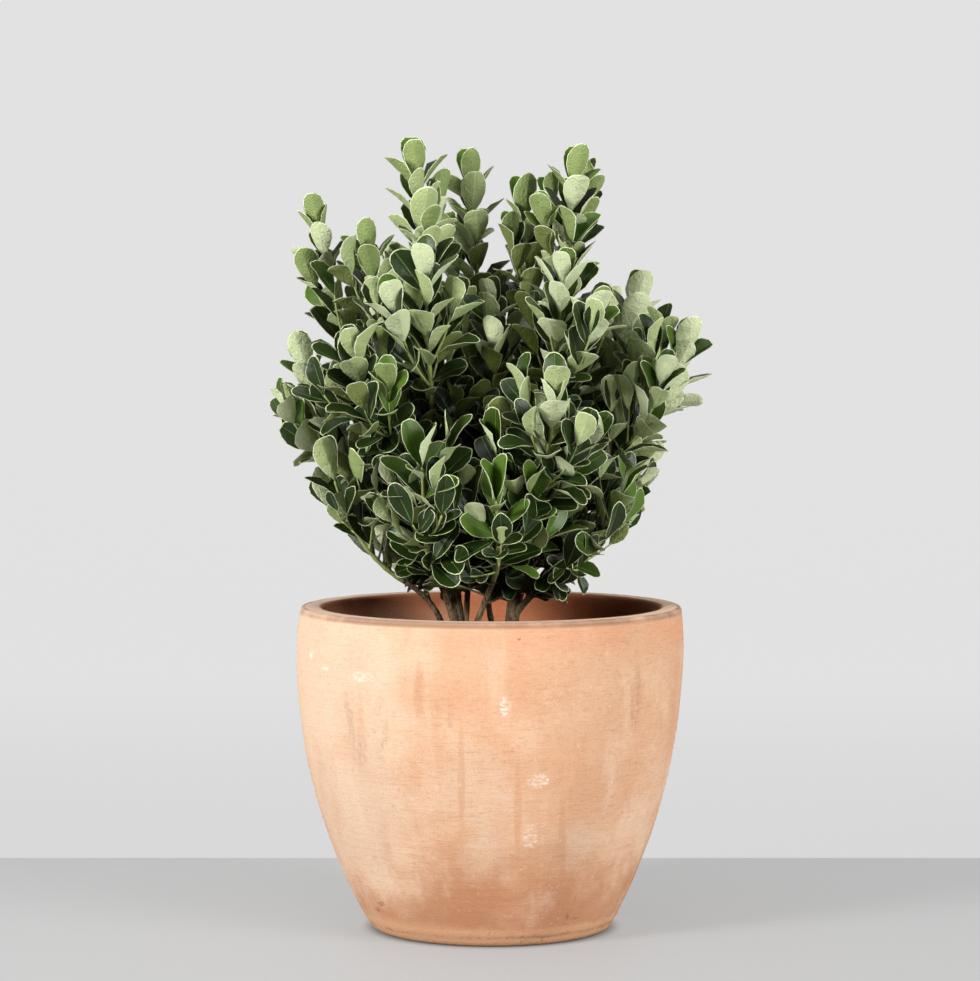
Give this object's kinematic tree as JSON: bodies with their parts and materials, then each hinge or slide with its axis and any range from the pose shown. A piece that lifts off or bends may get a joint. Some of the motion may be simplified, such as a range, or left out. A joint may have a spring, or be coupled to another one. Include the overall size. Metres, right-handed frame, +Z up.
{
  "type": "potted japanese spindle shrub",
  "caption": "Small upright evergreen shrub with cream-edged leaves on forking stems, growing in a plain egg-shaped terracotta pot that stands on its flat underside.",
  "frame": {"origin": "on the floor, in the middle of the pot's flat underside", "axes": "+Z up along the pot's axis, -Y towards the viewer of the picture, +X to the viewer's right"},
  "size_m": [0.4006, 0.3803, 0.7207],
  "materials": {
    "terracotta": "unglazed fired clay with lime bloom and weather stains",
    "soil": "crumbly dark potting soil",
    "bark": "dull brown, finely ridged bark",
    "young_bark": "greenish brown, smooth young bark",
    "foliage": "leathery leaves, glossy dark green above, matt sage below, with cream margins"
  },
  "bodies": {
    "root": {"pot": "terracotta", "soil": "soil", "trunk_left": "bark", "trunk_right": "bark", "stem_front_left": "bark", "stem_low_left": "bark", "stem_centre": "bark", "stem_cross": "bark", "stem_back": "bark", "bough_spire_left": "young_bark", "bough_spire_inner": "young_bark", "bough_upper_left": "young_bark", "bough_centre": "young_bark", "bough_column_left": "young_bark", "bough_column_right": "young_bark", "bough_front_left": "young_bark", "bough_front_centre": "young_bark", "bough_side_left": "young_bark", "bough_side_right": "young_bark", "bough_shoulder_right": "young_bark", "bough_middle_right": "young_bark", "bough_low_right": "young_bark", "bough_back_left": "young_bark", "bough_back_right": "young_bark", "bough_back_low_left": "young_bark", "bough_back_low_right": "young_bark", "foliage_spire_left": "foliage", "foliage_spire_tall": "foliage", "foliage_spire_back": "foliage", "foliage_spire_inner": "foliage", "foliage_spire_right": "foliage", "foliage_upper_left": "foliage", "foliage_centre": "foliage", "foliage_column_left": "foliage", "foliage_column_right": "foliage", "foliage_front_left": "foliage", "foliage_front_centre": "foliage", "foliage_front_low_left": "foliage", "foliage_front_low": "foliage", "foliage_side_left": "foliage", "foliage_low_left": "foliage", "foliage_side_right": "foliage", "foliage_shoulder_right": "foliage", "foliage_middle_right": "foliage", "foliage_low_right": "foliage", "foliage_back_left": "foliage", "foliage_back_centre": "foliage", "foliage_back_right": "foliage", "foliage_back_low_left": "foliage", "foliage_back_low_right": "foliage"}
  },
  "joints": []
}
